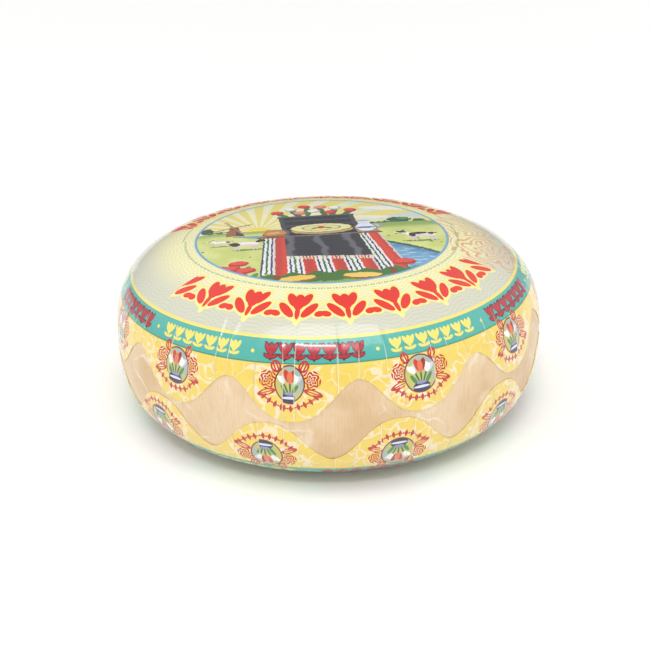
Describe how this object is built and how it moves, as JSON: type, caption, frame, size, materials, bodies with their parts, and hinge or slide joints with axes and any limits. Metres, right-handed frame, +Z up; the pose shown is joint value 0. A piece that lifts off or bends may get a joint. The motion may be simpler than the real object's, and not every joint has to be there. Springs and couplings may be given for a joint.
{
  "type": "cheese wheel",
  "caption": "Whole round aged cheese with a coated rind, bulging sides and a round scalloped printed label folded over each face",
  "frame": {"origin": "centre of the base, where the wheel stands", "axes": "+Z up along the wheel's axis, front towards -Y"},
  "size_m": [0.2492, 0.2493, 0.0981],
  "materials": {
    "rind": "thin glossy coating over tan cheese rind",
    "label": "printed sheet under a glossy coating"
  },
  "bodies": {
    "root": {"cheese": "rind", "top_label": "label", "base_label": "label"}
  },
  "joints": []
}
